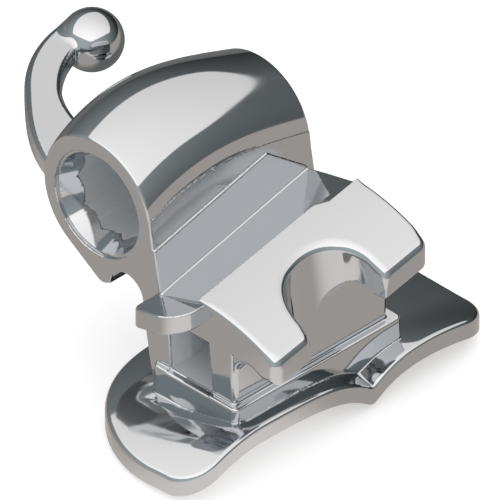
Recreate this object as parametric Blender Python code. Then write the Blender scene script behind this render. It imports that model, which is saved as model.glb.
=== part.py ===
"""Buccal tube: a molar attachment cast in one piece of stainless steel.

A contoured bonding pad carries a plinth, a body with a rectangular archwire slot, an occlusal
tie-wing with a U notch, a round headgear tube and a ball hook.
Frame: +X towards the biting edge, +Y distal, +Z away from the tooth, origin under the pad's middle.
Lengths are in millimetres here and become metres in the last step.
"""

import math

import bmesh
import bpy
from mathutils import Vector

MM = 0.001

# Bonding pad
PAD_LENGTH = 5.24
PAD_MIDDLE_Y = 0.14
PAD_OCCLUSAL_EDGE = 1.45
PAD_GINGIVAL_EDGE = -1.12
PAD_THICKNESS = 0.27
PAD_END_DROP = 0.22
PAD_GINGIVAL_DROP = 0.20
PAD_MESIAL_LOBE_RADIUS = 1.80
PAD_DISTAL_LOBE_RADIUS = 0.90
PAD_MESIAL_CORNER_RADIUS = 0.45
PAD_DISTAL_CORNER_RADIUS = 0.50
PAD_EDGE_ROUND = 0.05
PAD_BLEND_START = 0.75
# The mesial lobe falls away from here, and its front and back share one slope
PAD_LOBE_FALL_Y = -1.20
PAD_LOBE_FRONT_FALL = 0.235
PAD_LOBE_BACK_FALL = 0.053
PAD_LOBE_BLEND_Y = -1.25
PAD_LOBE_BLEND_LENGTH = 0.40
PAD_LOBE_BLEND_SHIFT = 1.05
PAD_ARCH_HEIGHT = 0.155
PAD_ARCH_Y = -0.60
PAD_ARCH_REACH = 2.87
PAD_ARCH_FALL = 0.22
GROOVE_Y = 0.64
GROOVE_DEPTH = 0.37
GROOVE_REACH = 0.45
GROOVE_ROUND = 0.06

# Plinth between pad and body
PLINTH_HEIGHT = 0.305
PLINTH_MARGIN = 0.10
PLINTH_DISTAL_MARGIN = 0.15
PLINTH_CORNER_RADIUS = 0.08
PLINTH_FOOT_FILLET = 0.20
PLINTH_EDGE_ROUND = 0.035

# Body length and the rise of the slot towards its distal end
BODY_LENGTH = 2.65
BODY_MESIAL_Y = -1.38
OFFSET_ANGLE = 12.0

# Headgear tube
TUBE_X = -1.306
TUBE_Z = 2.115
TUBE_RADIUS = 0.915
TUBE_OVERHANG = 0.13
TUBE_TAPER = 0.045
TUBE_ARCH = 0.23
TUBE_SWELL = 0.065
BORE_MOUTH_RADIUS = 0.726
BORE_LEAD_RADIUS = 0.690
BORE_STEP_DEPTH = 0.04
BORE_LEAD_DEPTH = 0.42
BORE_RADIUS = 0.573
BORE_SIDES = 10
WALL_LEAN = 10.0
FOOT_TIP_X = -1.22
FOOT_TIP_Z = 1.146
FOOT_TIP_RADIUS = 0.146
RELIEF_X = -0.805
RELIEF_Z = 1.043
LEG_FOOT_X = -0.34

# Archwire slot
SLOT_WIDTH = 0.56
SLOT_DEPTH = 0.71
SLOT_MIDDLE_X = 0.33
SLOT_LEAD_WIDENING = 0.075
SLOT_LEAD_LENGTH = 0.30
SLOT_LEAN = 5.0

# Roof over the slot and the hood in front of it
ROOF_VALLEY_X = -0.24
ROOF_VALLEY_Z = 1.311
SEAT_HEIGHT = 0.60
SEAT_PROUD = 0.03
SEAT_END_SHARE = 0.75
ROOF_FACET_SLOPE_X = 0.232
ROOF_FACET_SLOPE_Y = 0.052
ROOF_FACET_LENGTH = 0.75
HOOD_REACH = 0.43
HOOD_THICKNESS = 0.275
HOOD_SLOPE = 0.232
HOOD_GINGIVAL_RADIUS = 0.14
HOOD_OCCLUSAL_RADIUS = 0.36

# Occlusal tie-wing
WING_BACK_X = 0.573
WING_BACK_Z = 1.573
WING_TIP_X = 1.79
WING_CROWN_RADIUS = 2.7
WING_UNDERSIDE_Z = 0.955
WING_LIP_DROP = 0.065
WING_EDGE_ROUND = 0.075
STEM_X = 1.073
STEM_ARCH_RADIUS = 0.18

# U notch through the wing
NOTCH_X = 1.512
NOTCH_Y = -0.11
NOTCH_RADIUS = 0.61
NOTCH_FLARE = 0.25
NOTCH_BOTTOM_Z = 0.45
NOTCH_LEAN = 0.156

# Ball hook
HOOK_WIDTH = 0.46
HOOK_THICKNESS = 0.30
HOOK_CORNER_POWER = 0.55
HOOK_Z = 2.13
HOOK_ROOT_WIDTH = 0.78
HOOK_ROOT_LENGTH = 0.50
HOOK_ROOT_Y = -0.97
HOOK_LEAVE_X = -3.05
HOOK_LEAVE_Y = -0.68
HOOK_TURN_X = -3.97
HOOK_TURN_Y = 0.08
HOOK_TIP_X = -3.95
HOOK_TIP_Y = 1.02
HOOK_BALL_RADIUS = 0.402
HOOK_BALL_X = -3.804
HOOK_BALL_Y = 1.037

EDGE_ROUND = 0.035
# Each end face stands this far inside the one that covers it
END_STEP = 0.006
# How deep the body's forms reach into the pad
PAD_BITE = 0.12

SLOT_RISE = math.tan(math.radians(OFFSET_ANGLE))
BODY_DISTAL_Y = BODY_MESIAL_Y + BODY_LENGTH
TUBE_DISTAL_Y = BODY_DISTAL_Y + TUBE_OVERHANG


def smooth_step(value):
    """Ease from 0 to 1 with flat ends."""
    value = min(max(value, 0.0), 1.0)
    return value * value * (3.0 - 2.0 * value)


def arc(centre_x, centre_y, radius, start, end, steps):
    """Points on an arc, with angles in degrees."""
    points = []
    for i in range(steps + 1):
        angle = math.radians(start + (end - start) * i / steps)
        points.append((centre_x + radius * math.cos(angle), centre_y + radius * math.sin(angle)))
    return points


def rise(y):
    """Height that the slot block gains from its mesial end to y."""
    return (y - BODY_MESIAL_Y) * SLOT_RISE


def mesh_object(name, vertices, faces):
    """Make an object from vertices and faces, with its faces pointing out."""
    mesh = bpy.data.meshes.new(name)
    mesh.from_pydata([tuple(v) for v in vertices], [], faces)
    work = bmesh.new()
    work.from_mesh(mesh)
    bmesh.ops.recalc_face_normals(work, faces=work.faces)
    work.to_mesh(mesh)
    work.free()
    solid = bpy.data.objects.new(name, mesh)
    bpy.context.scene.collection.objects.link(solid)
    return solid


def loft(name, rings):
    """Close a skin over rings of equal length and cap both ends."""
    count = len(rings[0])
    vertices = [point for ring in rings for point in ring]
    faces = []
    for k in range(len(rings) - 1):
        for i in range(count):
            j = (i + 1) % count
            low, high = k * count, (k + 1) * count
            faces.append((low + i, low + j, high + j, high + i))
    last = (len(rings) - 1) * count
    faces.append(tuple(range(count)))
    faces.append(tuple(range(last, last + count)))
    return mesh_object(name, vertices, faces)


def evaluated_copy(solid):
    """Replace an object by its evaluated mesh, with its modifiers applied."""
    graph = bpy.context.evaluated_depsgraph_get()
    mesh = bpy.data.meshes.new_from_object(solid.evaluated_get(graph))
    solid.modifiers.clear()
    solid.data = mesh
    return solid


def inset(outline, amount):
    """Move an outline's points inwards, square to their edges, on a counter-clockwise outline."""
    points = []
    count = len(outline)
    for i in range(count):
        here = Vector(outline[i])
        back = (here - Vector(outline[i - 1])).normalized()
        ahead = (Vector(outline[(i + 1) % count]) - here).normalized()
        normal_back = Vector((-back.y, back.x))
        normal_ahead = Vector((-ahead.y, ahead.x))
        spread = max(1.0 + normal_back.dot(normal_ahead), 0.4)
        moved = here + (normal_back + normal_ahead) * (amount / spread)
        points.append((moved.x, moved.y))
    return points


def along_y(name, section, ends, edge, steps=1):
    """Loft a section, given as points of x and z at each y, with both end rims rounded."""
    start, finish = ends
    stations = [(start, edge), (start + edge * 0.3, edge * 0.3), (start + edge, 0.0)]
    for k in range(1, steps):
        stations.append((start + (finish - start) * k / steps, 0.0))
    stations += [(finish - edge, 0.0), (finish - edge * 0.3, edge * 0.3), (finish, edge)]
    rings = []
    for y, shrink in stations:
        outline = section(y)
        if shrink:
            outline = inset(outline, shrink)
        rings.append([(x, y, z) for x, z in outline])
    return loft(name, rings)


def split_faces(solid):
    """Split every face into triangles, so that each one is flat."""
    work = bmesh.new()
    work.from_mesh(solid.data)
    bmesh.ops.triangulate(work, faces=work.faces)
    work.to_mesh(solid.data)
    work.free()


def combine(solid, tool, operation):
    """Join or cut one solid with another and drop the tool."""
    split_faces(solid)
    split_faces(tool)
    boolean = solid.modifiers.new("combine", "BOOLEAN")
    boolean.operation = operation
    boolean.solver = "EXACT"
    boolean.object = tool
    evaluated_copy(solid)
    bpy.data.objects.remove(tool, do_unlink=True)
    return solid


def pad_top(x, y):
    """Height of the pad's face: rim bent to the tooth, arched front edge and buccal groove."""
    half = PAD_LENGTH / 2.0
    middle = (PAD_OCCLUSAL_EDGE + PAD_GINGIVAL_EDGE) / 2.0
    gingival = max(0.0, (middle - x) / (middle - PAD_GINGIVAL_EDGE))
    bend = -PAD_END_DROP * ((y - PAD_MIDDLE_Y) / half) ** 2 - PAD_GINGIVAL_DROP * gingival ** 2
    lobe = max(0.0, PAD_LOBE_FALL_Y - y) ** 2
    bend -= PAD_LOBE_BACK_FALL * lobe
    on_lobe = smooth_step((PAD_LOBE_BLEND_Y - y) / PAD_LOBE_BLEND_LENGTH)
    blend_start = PAD_BLEND_START - PAD_LOBE_BLEND_SHIFT * on_lobe
    near_edge = smooth_step((x - blend_start) / (PAD_OCCLUSAL_EDGE - blend_start))
    distal = max(0.0, (y - PAD_ARCH_Y) / PAD_ARCH_REACH)
    arch = PAD_ARCH_HEIGHT - PAD_ARCH_FALL * distal ** 3 - PAD_LOBE_FRONT_FALL * lobe
    away = math.hypot(y - GROOVE_Y, GROOVE_ROUND) - GROOVE_ROUND
    valley = GROOVE_DEPTH * math.exp(-away / GROOVE_REACH)
    return bend + near_edge * (arch - valley - bend)


def rounded_outline(corners, edge_steps):
    """Outline through corners given as x, y, radius and arc steps, counter-clockwise."""
    arcs = []
    count = len(corners)
    for i, (x, y, radius, steps) in enumerate(corners):
        previous = Vector(corners[i - 1][:2]) - Vector((x, y))
        following = Vector(corners[(i + 1) % count][:2]) - Vector((x, y))
        inward = previous.normalized() + following.normalized()
        centre = Vector((x, y)) + inward * radius
        start = math.degrees(math.atan2(-following.y, -following.x))
        arcs.append(arc(centre.x, centre.y, radius, start, start + 90.0, steps))
    points = []
    for i, stretch in enumerate(arcs):
        points.extend(stretch)
        end = Vector(stretch[-1])
        start = Vector(arcs[(i + 1) % count][0])
        steps = edge_steps[i]
        for k in range(1, steps):
            points.append(tuple(end.lerp(start, k / steps)))
    return points


def make_pad():
    """Contoured bonding pad, of even thickness, with a round lobe at its mesial end."""
    mesial = PAD_MIDDLE_Y - PAD_LENGTH / 2.0
    distal = PAD_MIDDLE_Y + PAD_LENGTH / 2.0
    outline = rounded_outline(
        [
            (PAD_OCCLUSAL_EDGE, mesial, PAD_MESIAL_CORNER_RADIUS, 5),
            (PAD_OCCLUSAL_EDGE, distal, PAD_DISTAL_CORNER_RADIUS, 6),
            (PAD_GINGIVAL_EDGE, distal, PAD_DISTAL_LOBE_RADIUS, 7),
            (PAD_GINGIVAL_EDGE, mesial, PAD_MESIAL_LOBE_RADIUS, 14),
        ],
        [30, 4, 6, 2],
    )
    middle = Vector(((PAD_OCCLUSAL_EDGE + PAD_GINGIVAL_EDGE) / 2.0, PAD_MIDDLE_Y))

    def ring(inset, share, drop):
        points = []
        for x, y in outline:
            offset = Vector((x, y)) - middle
            place = middle + offset * share * (1.0 - inset / offset.length)
            points.append((place.x, place.y, pad_top(place.x, place.y) - drop))
        return points

    shares = [0.08, 0.28, 0.46, 0.62, 0.75, 0.85, 0.93]
    edge = PAD_EDGE_ROUND
    rings = [ring(0.0, share, 0.0) for share in shares]
    rings.append(ring(edge, 1.0, 0.0))
    rings.append(ring(edge * 0.3, 1.0, edge * 0.3))
    rings.append(ring(0.0, 1.0, edge))
    rings.append(ring(0.0, 1.0, PAD_THICKNESS - edge * 0.5))
    rings.append(ring(edge * 0.5, 1.0, PAD_THICKNESS))
    rings.extend(ring(0.0, share, PAD_THICKNESS) for share in reversed(shares))
    return loft("pad", rings)


def make_plinth():
    """Low plinth whose foot sweeps out into the pad."""
    low_x = LEG_FOOT_X + 0.06
    high_x = STEM_X + PLINTH_MARGIN
    low_y = BODY_MESIAL_Y - PLINTH_MARGIN * 0.8
    high_y = BODY_DISTAL_Y + PLINTH_DISTAL_MARGIN

    def ring(offset, height, follow):
        radius = PLINTH_CORNER_RADIUS + max(offset, -PLINTH_CORNER_RADIUS * 0.6)
        corners = [
            (high_x + offset, low_y - offset, radius, 4),
            (high_x + offset, high_y + offset, radius, 4),
            (low_x - offset, high_y + offset, radius, 4),
            (low_x - offset, low_y - offset, radius, 4),
        ]
        outline = rounded_outline(corners, [20, 6, 8, 6])
        return [(x, y, height + follow * pad_top(x, y)) for x, y in outline]

    edge = PLINTH_EDGE_ROUND
    fillet = PLINTH_FOOT_FILLET
    rings = [
        ring(-edge, PLINTH_HEIGHT, 0.0),
        ring(-edge * 0.3, PLINTH_HEIGHT - edge * 0.3, 0.0),
        ring(0.0, PLINTH_HEIGHT - edge, 0.0),
    ]
    for k in range(6):
        angle = math.radians(18.0 * k)
        share = k / 5.0
        rings.append(ring(fillet * (1.0 - math.cos(angle)), fillet * (1.0 - math.sin(angle)), share))
    rings.append(ring(fillet, -PAD_THICKNESS * 0.5, 1.0))
    return loft("plinth", rings)


def swell_share(t):
    """Share of the tube's arch at t, 0 at both ends and fullest a little towards the mesial end."""
    return math.sin(math.pi * min(max(t, 0.0), 1.0) ** 0.85)


def tube_section(y):
    """Tube, foot, relief groove and leg at one place along Y, counter-clockwise."""
    normal = Vector((math.cos(math.radians(WALL_LEAN)), math.sin(math.radians(WALL_LEAN))))
    up = Vector((-normal.y, normal.x))
    foot = Vector((FOOT_TIP_X, FOOT_TIP_Z))
    relief = Vector((RELIEF_X, RELIEF_Z))
    relief_radius = (relief - foot).length - FOOT_TIP_RADIUS
    toward = math.degrees(math.atan2(relief.y - foot.y, relief.x - foot.x))
    along = (y - BODY_MESIAL_Y) / (TUBE_DISTAL_Y - BODY_MESIAL_Y)
    share = swell_share(along)
    growth = TUBE_SWELL * share - TUBE_TAPER * along
    radius = TUBE_RADIUS + growth
    centre = Vector((TUBE_X, TUBE_Z)) - normal * growth + up * TUBE_ARCH * share
    apart = centre - foot
    turn = math.degrees(math.acos((FOOT_TIP_RADIUS - radius) / apart.length))
    tangent = math.degrees(math.atan2(apart.y, apart.x)) + turn
    section = arc(centre.x, centre.y, radius, WALL_LEAN, tangent, 38)
    section += arc(foot.x, foot.y, FOOT_TIP_RADIUS, tangent, 360.0 + toward, 7)[1:]
    section += arc(relief.x, relief.y, relief_radius, 180.0 + toward, -10.0, 10)[1:]
    section += [(LEG_FOOT_X, -PAD_BITE), (0.0, -PAD_BITE), (ROOF_VALLEY_X, ROOF_VALLEY_Z)]
    return section


def make_tube():
    """Headgear tube with its leg and the lengthwise foot, lofted along Y."""
    return along_y("tube", tube_section, (BODY_MESIAL_Y, TUBE_DISTAL_Y), EDGE_ROUND, 16)


def block_section(y):
    """Leg, roof and stem around the slot, rising distally from a level foot, counter-clockwise."""
    share = (y - BODY_MESIAL_Y) / BODY_LENGTH
    left = min(1.0, (1.0 - share) / (1.0 - SEAT_END_SHARE))
    seat_height = max(SEAT_HEIGHT * left, SEAT_PROUD)
    lean = math.tan(math.radians(WALL_LEAN))
    seat_x = ROOF_VALLEY_X - (seat_height + rise(y)) * lean + SEAT_PROUD
    seat_z = ROOF_VALLEY_Z + seat_height
    bottom = -PAD_BITE * 1.2
    raised = [
        (STEM_X, WING_UNDERSIDE_Z - STEM_ARCH_RADIUS),
        (STEM_X, WING_UNDERSIDE_Z + 0.1),
        (WING_BACK_X + 0.2, WING_BACK_Z - 0.12),
        (WING_BACK_X, WING_BACK_Z),
        (ROOF_VALLEY_X - rise(y) * lean + SEAT_PROUD, ROOF_VALLEY_Z),
        (seat_x, seat_z),
        (seat_x - 0.16, seat_z + 0.03),
        (LEG_FOOT_X - 0.10, RELIEF_Z),
    ]
    points = [(LEG_FOOT_X + 0.02, bottom), (STEM_X, bottom)]
    return points + [(x, z + rise(y)) for x, z in raised]


def make_block():
    """Body around the slot, standing on the plinth."""
    ends = (BODY_MESIAL_Y + END_STEP, BODY_DISTAL_Y - END_STEP)
    return along_y("block", block_section, ends, EDGE_ROUND * 0.8, 4)


def wing_section(y):
    """Crowned top, rounded tip and a small lip over the undercut, counter-clockwise."""
    back_slope = 2.0
    centre_x = WING_BACK_X - WING_CROWN_RADIUS * math.sin(math.radians(back_slope))
    centre_z = WING_BACK_Z - WING_CROWN_RADIUS * math.cos(math.radians(back_slope))
    edge = WING_EDGE_ROUND
    tip_slope = math.degrees(math.asin((WING_TIP_X - edge - centre_x) / WING_CROWN_RADIUS))
    top = arc(centre_x, centre_z, WING_CROWN_RADIUS, 90.0 - tip_slope, 90.0 - back_slope, 8)
    lip = WING_UNDERSIDE_Z - WING_LIP_DROP
    arch_x = STEM_X + STEM_ARCH_RADIUS
    arch_z = WING_UNDERSIDE_Z - STEM_ARCH_RADIUS
    profile = [(WING_BACK_X, WING_UNDERSIDE_Z + 0.15), (STEM_X - 0.1, arch_z)]
    profile += arc(arch_x, arch_z, STEM_ARCH_RADIUS, 180.0, 90.0, 6)
    profile += [
        (WING_TIP_X - edge * 2.6, WING_UNDERSIDE_Z),
        (WING_TIP_X - edge * 1.7, lip + WING_LIP_DROP * 0.2),
    ]
    profile += arc(WING_TIP_X - edge, lip + edge, edge, -90.0, 0.0, 3)
    profile += arc(WING_TIP_X - edge, top[0][1] - edge * 0.9, edge, 0.0, 50.0, 3)
    profile += top
    return [(x, z + rise(y)) for x, z in profile]


def make_wing():
    """Occlusal tie-wing, one bar until the U notch parts it."""
    ends = (BODY_MESIAL_Y - END_STEP, BODY_DISTAL_Y + END_STEP)
    return along_y("wing", wing_section, ends, WING_EDGE_ROUND * 0.7)


def roof_facet_cutter():
    """Flatter facet at the roof's distal end, which leaves a triangle beside the wing."""
    low_x = ROOF_VALLEY_X
    high_x = WING_BACK_X + 0.02
    far = BODY_DISTAL_Y
    corner_z = ROOF_VALLEY_Z + rise(far)
    past = 0.2

    def height(x, y):
        return corner_z + ROOF_FACET_SLOPE_X * (x - low_x) + ROOF_FACET_SLOPE_Y * (y - far)

    rings = []
    for lift in (0.0, 0.25):
        corners = [
            (low_x, far - ROOF_FACET_LENGTH),
            (high_x, far - ROOF_FACET_LENGTH),
            (high_x, far + past),
            (low_x, far + past),
        ]
        rings.append([(x, y, height(x, y) + lift) for x, y in corners])
    return loft("roof_facet", rings)


def make_hood():
    """D-shaped plate that carries the roof out over the slot's mesial mouth."""
    low_x = ROOF_VALLEY_X - 0.05
    high_x = WING_BACK_X - 0.08
    front = BODY_MESIAL_Y - HOOD_REACH
    back = BODY_MESIAL_Y + 0.12
    outline = rounded_outline(
        [
            (high_x, front, HOOD_OCCLUSAL_RADIUS, 8),
            (high_x, back, 0.06, 2),
            (low_x, back, 0.06, 2),
            (low_x, front, HOOD_GINGIVAL_RADIUS, 5),
        ],
        [1, 1, 1, 1],
    )
    edge = EDGE_ROUND
    levels = [
        (HOOD_THICKNESS, edge),
        (HOOD_THICKNESS - edge * 0.3, edge * 0.3),
        (HOOD_THICKNESS - edge, 0.0),
        (edge, 0.0),
        (edge * 0.3, edge * 0.3),
        (0.0, edge),
    ]
    rings = []
    for drop, shrink in levels:
        ring = []
        for x, y in inset(outline, shrink):
            ring.append((x, y, ROOF_VALLEY_Z + HOOD_SLOPE * (x - ROOF_VALLEY_X) - drop))
        rings.append(ring)
    return loft("hood", rings)


def hook_path(t):
    """Middle of the hook's bar: out of the tube, then round in one even curve to the ball."""
    root = Vector((TUBE_X - (TUBE_RADIUS + BORE_RADIUS) / 2.0, HOOK_ROOT_Y, HOOK_Z))
    leave = Vector((HOOK_LEAVE_X, HOOK_LEAVE_Y, HOOK_Z))
    turn = Vector((HOOK_TURN_X, HOOK_TURN_Y, HOOK_Z))
    tip = Vector((HOOK_TIP_X, HOOK_TIP_Y, HOOK_Z))
    s = 1.0 - t
    return root * s ** 3 + leave * 3 * s * s * t + turn * 3 * s * t * t + tip * t ** 3


def make_hook():
    """Flattened bar with rounded edges, swept from the tube's gingival side to the ball."""
    rings = []
    steps = 16
    for k in range(steps + 1):
        t = k / steps
        here = hook_path(t)
        ahead = hook_path(min(t + 0.01, 1.0)) - hook_path(max(t - 0.01, 0.0))
        side = Vector((ahead.y, -ahead.x, 0.0)).normalized()
        up = side.cross(ahead.normalized())
        flare = (1.0 - smooth_step(t / HOOK_ROOT_LENGTH)) * (HOOK_ROOT_WIDTH - HOOK_WIDTH)
        half_width = (HOOK_WIDTH + flare) / 2.0
        half_height = HOOK_THICKNESS / 2.0
        ring = []
        for i in range(20):
            angle = 2.0 * math.pi * i / 20
            across = math.copysign(abs(math.cos(angle)) ** HOOK_CORNER_POWER, math.cos(angle))
            along_up = math.copysign(abs(math.sin(angle)) ** HOOK_CORNER_POWER, math.sin(angle))
            ring.append(here + side * half_width * across + up * half_height * along_up)
        rings.append(ring)
    return loft("hook", rings)


def make_ball():
    """Ball at the hook's end."""
    work = bmesh.new()
    bmesh.ops.create_uvsphere(work, u_segments=28, v_segments=16, radius=HOOK_BALL_RADIUS)
    bmesh.ops.translate(work, verts=work.verts, vec=(HOOK_BALL_X, HOOK_BALL_Y, HOOK_Z))
    mesh = bpy.data.meshes.new("ball")
    work.to_mesh(mesh)
    work.free()
    ball = bpy.data.objects.new("ball", mesh)
    bpy.context.scene.collection.objects.link(ball)
    return ball


def turned(name, stations, sides, first_angle=0.0):
    """Cutter along Y from stations of y and radius, around the tube's axis."""
    rings = []
    for y, radius in stations:
        ring = []
        for i in range(sides):
            angle = math.radians(first_angle) + 2.0 * math.pi * i / sides
            ring.append((TUBE_X + radius * math.cos(angle), y, TUBE_Z + radius * math.sin(angle)))
        rings.append(ring)
    return loft(name, rings)


def bore_cutters():
    """Many-sided bore with a step and a smooth lead-in cone at each end."""
    corner = BORE_RADIUS / math.cos(math.pi / BORE_SIDES)
    past = 0.3
    cutters = [
        turned(
            "bore",
            [(BODY_MESIAL_Y - past, corner), (TUBE_DISTAL_Y + past, corner)],
            BORE_SIDES,
        )
    ]
    deep_radius = BORE_RADIUS * 0.93
    for end, inward in ((BODY_MESIAL_Y, 1.0), (TUBE_DISTAL_Y, -1.0)):
        stations = [
            (end - inward * past, BORE_MOUTH_RADIUS),
            (end + inward * BORE_STEP_DEPTH, BORE_MOUTH_RADIUS),
            (end + inward * BORE_STEP_DEPTH, BORE_LEAD_RADIUS),
            (end + inward * BORE_LEAD_DEPTH, deep_radius),
        ]
        cutters.append(turned("lead_in", stations, 56))
    return cutters


def slot_cutter():
    """Rectangular archwire slot, wider at its two mouths."""
    lean = math.tan(math.radians(SLOT_LEAN))
    past = 0.8

    def ring(y, widening):
        half = SLOT_WIDTH / 2.0 + widening
        floor = PLINTH_HEIGHT + END_STEP + rise(y)
        corners = [(-half, 0.0), (half, 0.0), (half, SLOT_DEPTH), (-half, SLOT_DEPTH)]
        return [(SLOT_MIDDLE_X + u - h * lean, y, floor + h) for u, h in corners]

    rings = [
        ring(BODY_MESIAL_Y - past, SLOT_LEAD_WIDENING),
        ring(BODY_MESIAL_Y, SLOT_LEAD_WIDENING),
        ring(BODY_MESIAL_Y + SLOT_LEAD_LENGTH, 0.0),
        ring(BODY_DISTAL_Y - SLOT_LEAD_LENGTH, 0.0),
        ring(BODY_DISTAL_Y, SLOT_LEAD_WIDENING),
        ring(BODY_DISTAL_Y + past, SLOT_LEAD_WIDENING),
    ]
    return loft("slot", rings)


def notch_cutter():
    """U notch that splits the wing's tip in two and runs down into the stem."""
    top_z = WING_BACK_Z + rise(BODY_DISTAL_Y) + 0.3
    outer_x = WING_TIP_X + 0.4
    rings = []
    for z in (NOTCH_BOTTOM_Z, top_z):
        shift = NOTCH_LEAN * (WING_BACK_Z + rise(NOTCH_Y) - z)
        outline = arc(NOTCH_X + shift, NOTCH_Y, NOTCH_RADIUS, 90.0, 270.0, 20)
        flare = (outer_x - NOTCH_X) * NOTCH_FLARE
        outline += [
            (outer_x + shift, NOTCH_Y - NOTCH_RADIUS - flare),
            (outer_x + shift, NOTCH_Y + NOTCH_RADIUS + flare * 0.4),
        ]
        rings.append([(x, y, z) for x, y in outline])
    return loft("notch", rings)


def steel():
    """Polished stainless steel."""
    material = bpy.data.materials.new("polished_stainless_steel")
    material.use_nodes = True
    shader = material.node_tree.nodes["Principled BSDF"]
    shader.inputs["Base Color"].default_value = (0.62, 0.61, 0.60, 1.0)
    shader.inputs["Metallic"].default_value = 1.0
    shader.inputs["Roughness"].default_value = 0.12
    return material


def clear_scene():
    """Remove what the scene holds at the start."""
    for old in list(bpy.data.objects):
        bpy.data.objects.remove(old, do_unlink=True)


def build():
    """Join the forms, cut the openings and bring the result to metres."""
    clear_scene()
    tube = make_tube()
    for cutter in bore_cutters():
        combine(tube, cutter, "DIFFERENCE")
    solid = make_block()
    combine(solid, tube, "UNION")
    combine(solid, make_wing(), "UNION")
    combine(solid, slot_cutter(), "DIFFERENCE")
    combine(solid, notch_cutter(), "DIFFERENCE")
    combine(solid, roof_facet_cutter(), "DIFFERENCE")
    for add in (make_plinth, make_pad, make_hood, make_hook, make_ball):
        combine(solid, add(), "UNION")
    solid.name = "buccal_tube"
    mesh = solid.data
    mesh.name = "buccal_tube"
    mesh.materials.clear()
    mesh.materials.append(steel())
    work = bmesh.new()
    work.from_mesh(mesh)
    rest_height = -min(vertex.co.z for vertex in work.verts)
    bmesh.ops.translate(work, verts=work.verts, vec=(0.0, -PAD_MIDDLE_Y, rest_height))
    bmesh.ops.scale(work, verts=work.verts, vec=(MM, MM, MM))
    bmesh.ops.triangulate(work, faces=work.faces)
    work.to_mesh(mesh)
    work.free()
    mesh.shade_smooth()
    mesh.set_sharp_from_angle(angle=math.radians(30.0))


build()
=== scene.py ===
"""Buccal tube on a pale studio floor: the looks of a one-piece steel molar attachment.

The real piece is moulded in one shot, tumbled and electropolished. Its skin is worked out here in
millimetres with numpy and ends in metres, in the frame of the CAD solid that it stands for.
"""

import math

import bpy
import numpy as np
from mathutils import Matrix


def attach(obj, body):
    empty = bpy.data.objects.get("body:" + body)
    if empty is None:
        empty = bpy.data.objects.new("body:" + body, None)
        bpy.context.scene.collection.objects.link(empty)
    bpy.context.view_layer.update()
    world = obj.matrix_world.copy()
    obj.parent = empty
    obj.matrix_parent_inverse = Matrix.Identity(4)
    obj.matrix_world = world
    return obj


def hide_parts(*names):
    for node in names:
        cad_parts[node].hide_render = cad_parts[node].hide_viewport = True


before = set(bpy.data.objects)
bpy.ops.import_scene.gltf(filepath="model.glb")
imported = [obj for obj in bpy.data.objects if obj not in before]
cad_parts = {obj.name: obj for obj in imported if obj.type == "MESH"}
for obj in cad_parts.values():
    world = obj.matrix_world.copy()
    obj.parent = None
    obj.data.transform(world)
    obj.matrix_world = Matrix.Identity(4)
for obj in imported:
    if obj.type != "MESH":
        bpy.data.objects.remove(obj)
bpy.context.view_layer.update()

MM = 0.001
# The mesial end of body and tube, and the level that their walls reach down to, inside the plinth
MESIAL_Y = -1.38
ROOT_Z = -0.12

# ---------------------------------------------------------------------------------------------
# Bonding pad
# The foot of the attachment: a thin steel leaf bent to a molar's face, with two humps and the
# buccal groove at its front edge. The adhesive film is held by its hollow back.

PAD_MIDDLE_X, PAD_MIDDLE_Y = 0.165, 0.14
PAD_HALF_WIDTH, PAD_HALF_LENGTH = 1.285, 2.62
PAD_FRONT, PAD_BACK, PAD_DISTAL, PAD_MESIAL = 1.45, -1.12, 2.76, -2.48
PAD_THICKNESS = 0.27
PAD_END_DROP, PAD_BACK_DROP = 0.22, 0.20
PAD_TOP_ROUND, PAD_UNDER_ROUND = 0.055, 0.03
PAD_STEEPNESS = 1.04
CORNER_ROUNDS = {"near": 0.45, "far": 0.50, "near_back": 1.80, "far_back": 0.90}
LOBE_Y, LOBE_BACK_FALL, LOBE_FRONT_FALL = -1.2, 0.053, 0.235
ARCH_HEIGHT, ARCH_FALL, ARCH_Y, ARCH_REACH = 0.155, 0.22, -0.6, 2.87
GROOVE_Y, GROOVE_DEPTH, GROOVE_REACH, GROOVE_ROUND = 0.64, 0.37, 0.45, 0.06
BLEND_START, BLEND_SHIFT, BLEND_Y, BLEND_LENGTH = 0.75, 1.05, -1.25, 0.4


def ease(value):
    """Cubic ease 3t^2 - 2t^3 of the value held between 0 and 1."""
    value = np.clip(value, 0.0, 1.0)
    return value * value * (3.0 - 2.0 * value)


def both(a, b, radius):
    """Overlap of two solids, with a round of the radius on the edge between them.

    Inside the edge zone it is the distance to a circle of that radius, elsewhere the larger one.
    """
    edge = np.hypot(np.maximum(a + radius, 0.0), np.maximum(b + radius, 0.0))
    return np.minimum(np.maximum(a, b), -radius) + edge


def join(a, b, radius):
    """Union of two solids, with a fillet of the radius in the corner between them.

    In the corner zone it is the distance to a circle of that radius, elsewhere the smaller one.
    """
    corner = np.hypot(np.maximum(radius - a, 0.0), np.maximum(radius - b, 0.0))
    return np.maximum(np.minimum(a, b), radius) - corner


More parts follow.
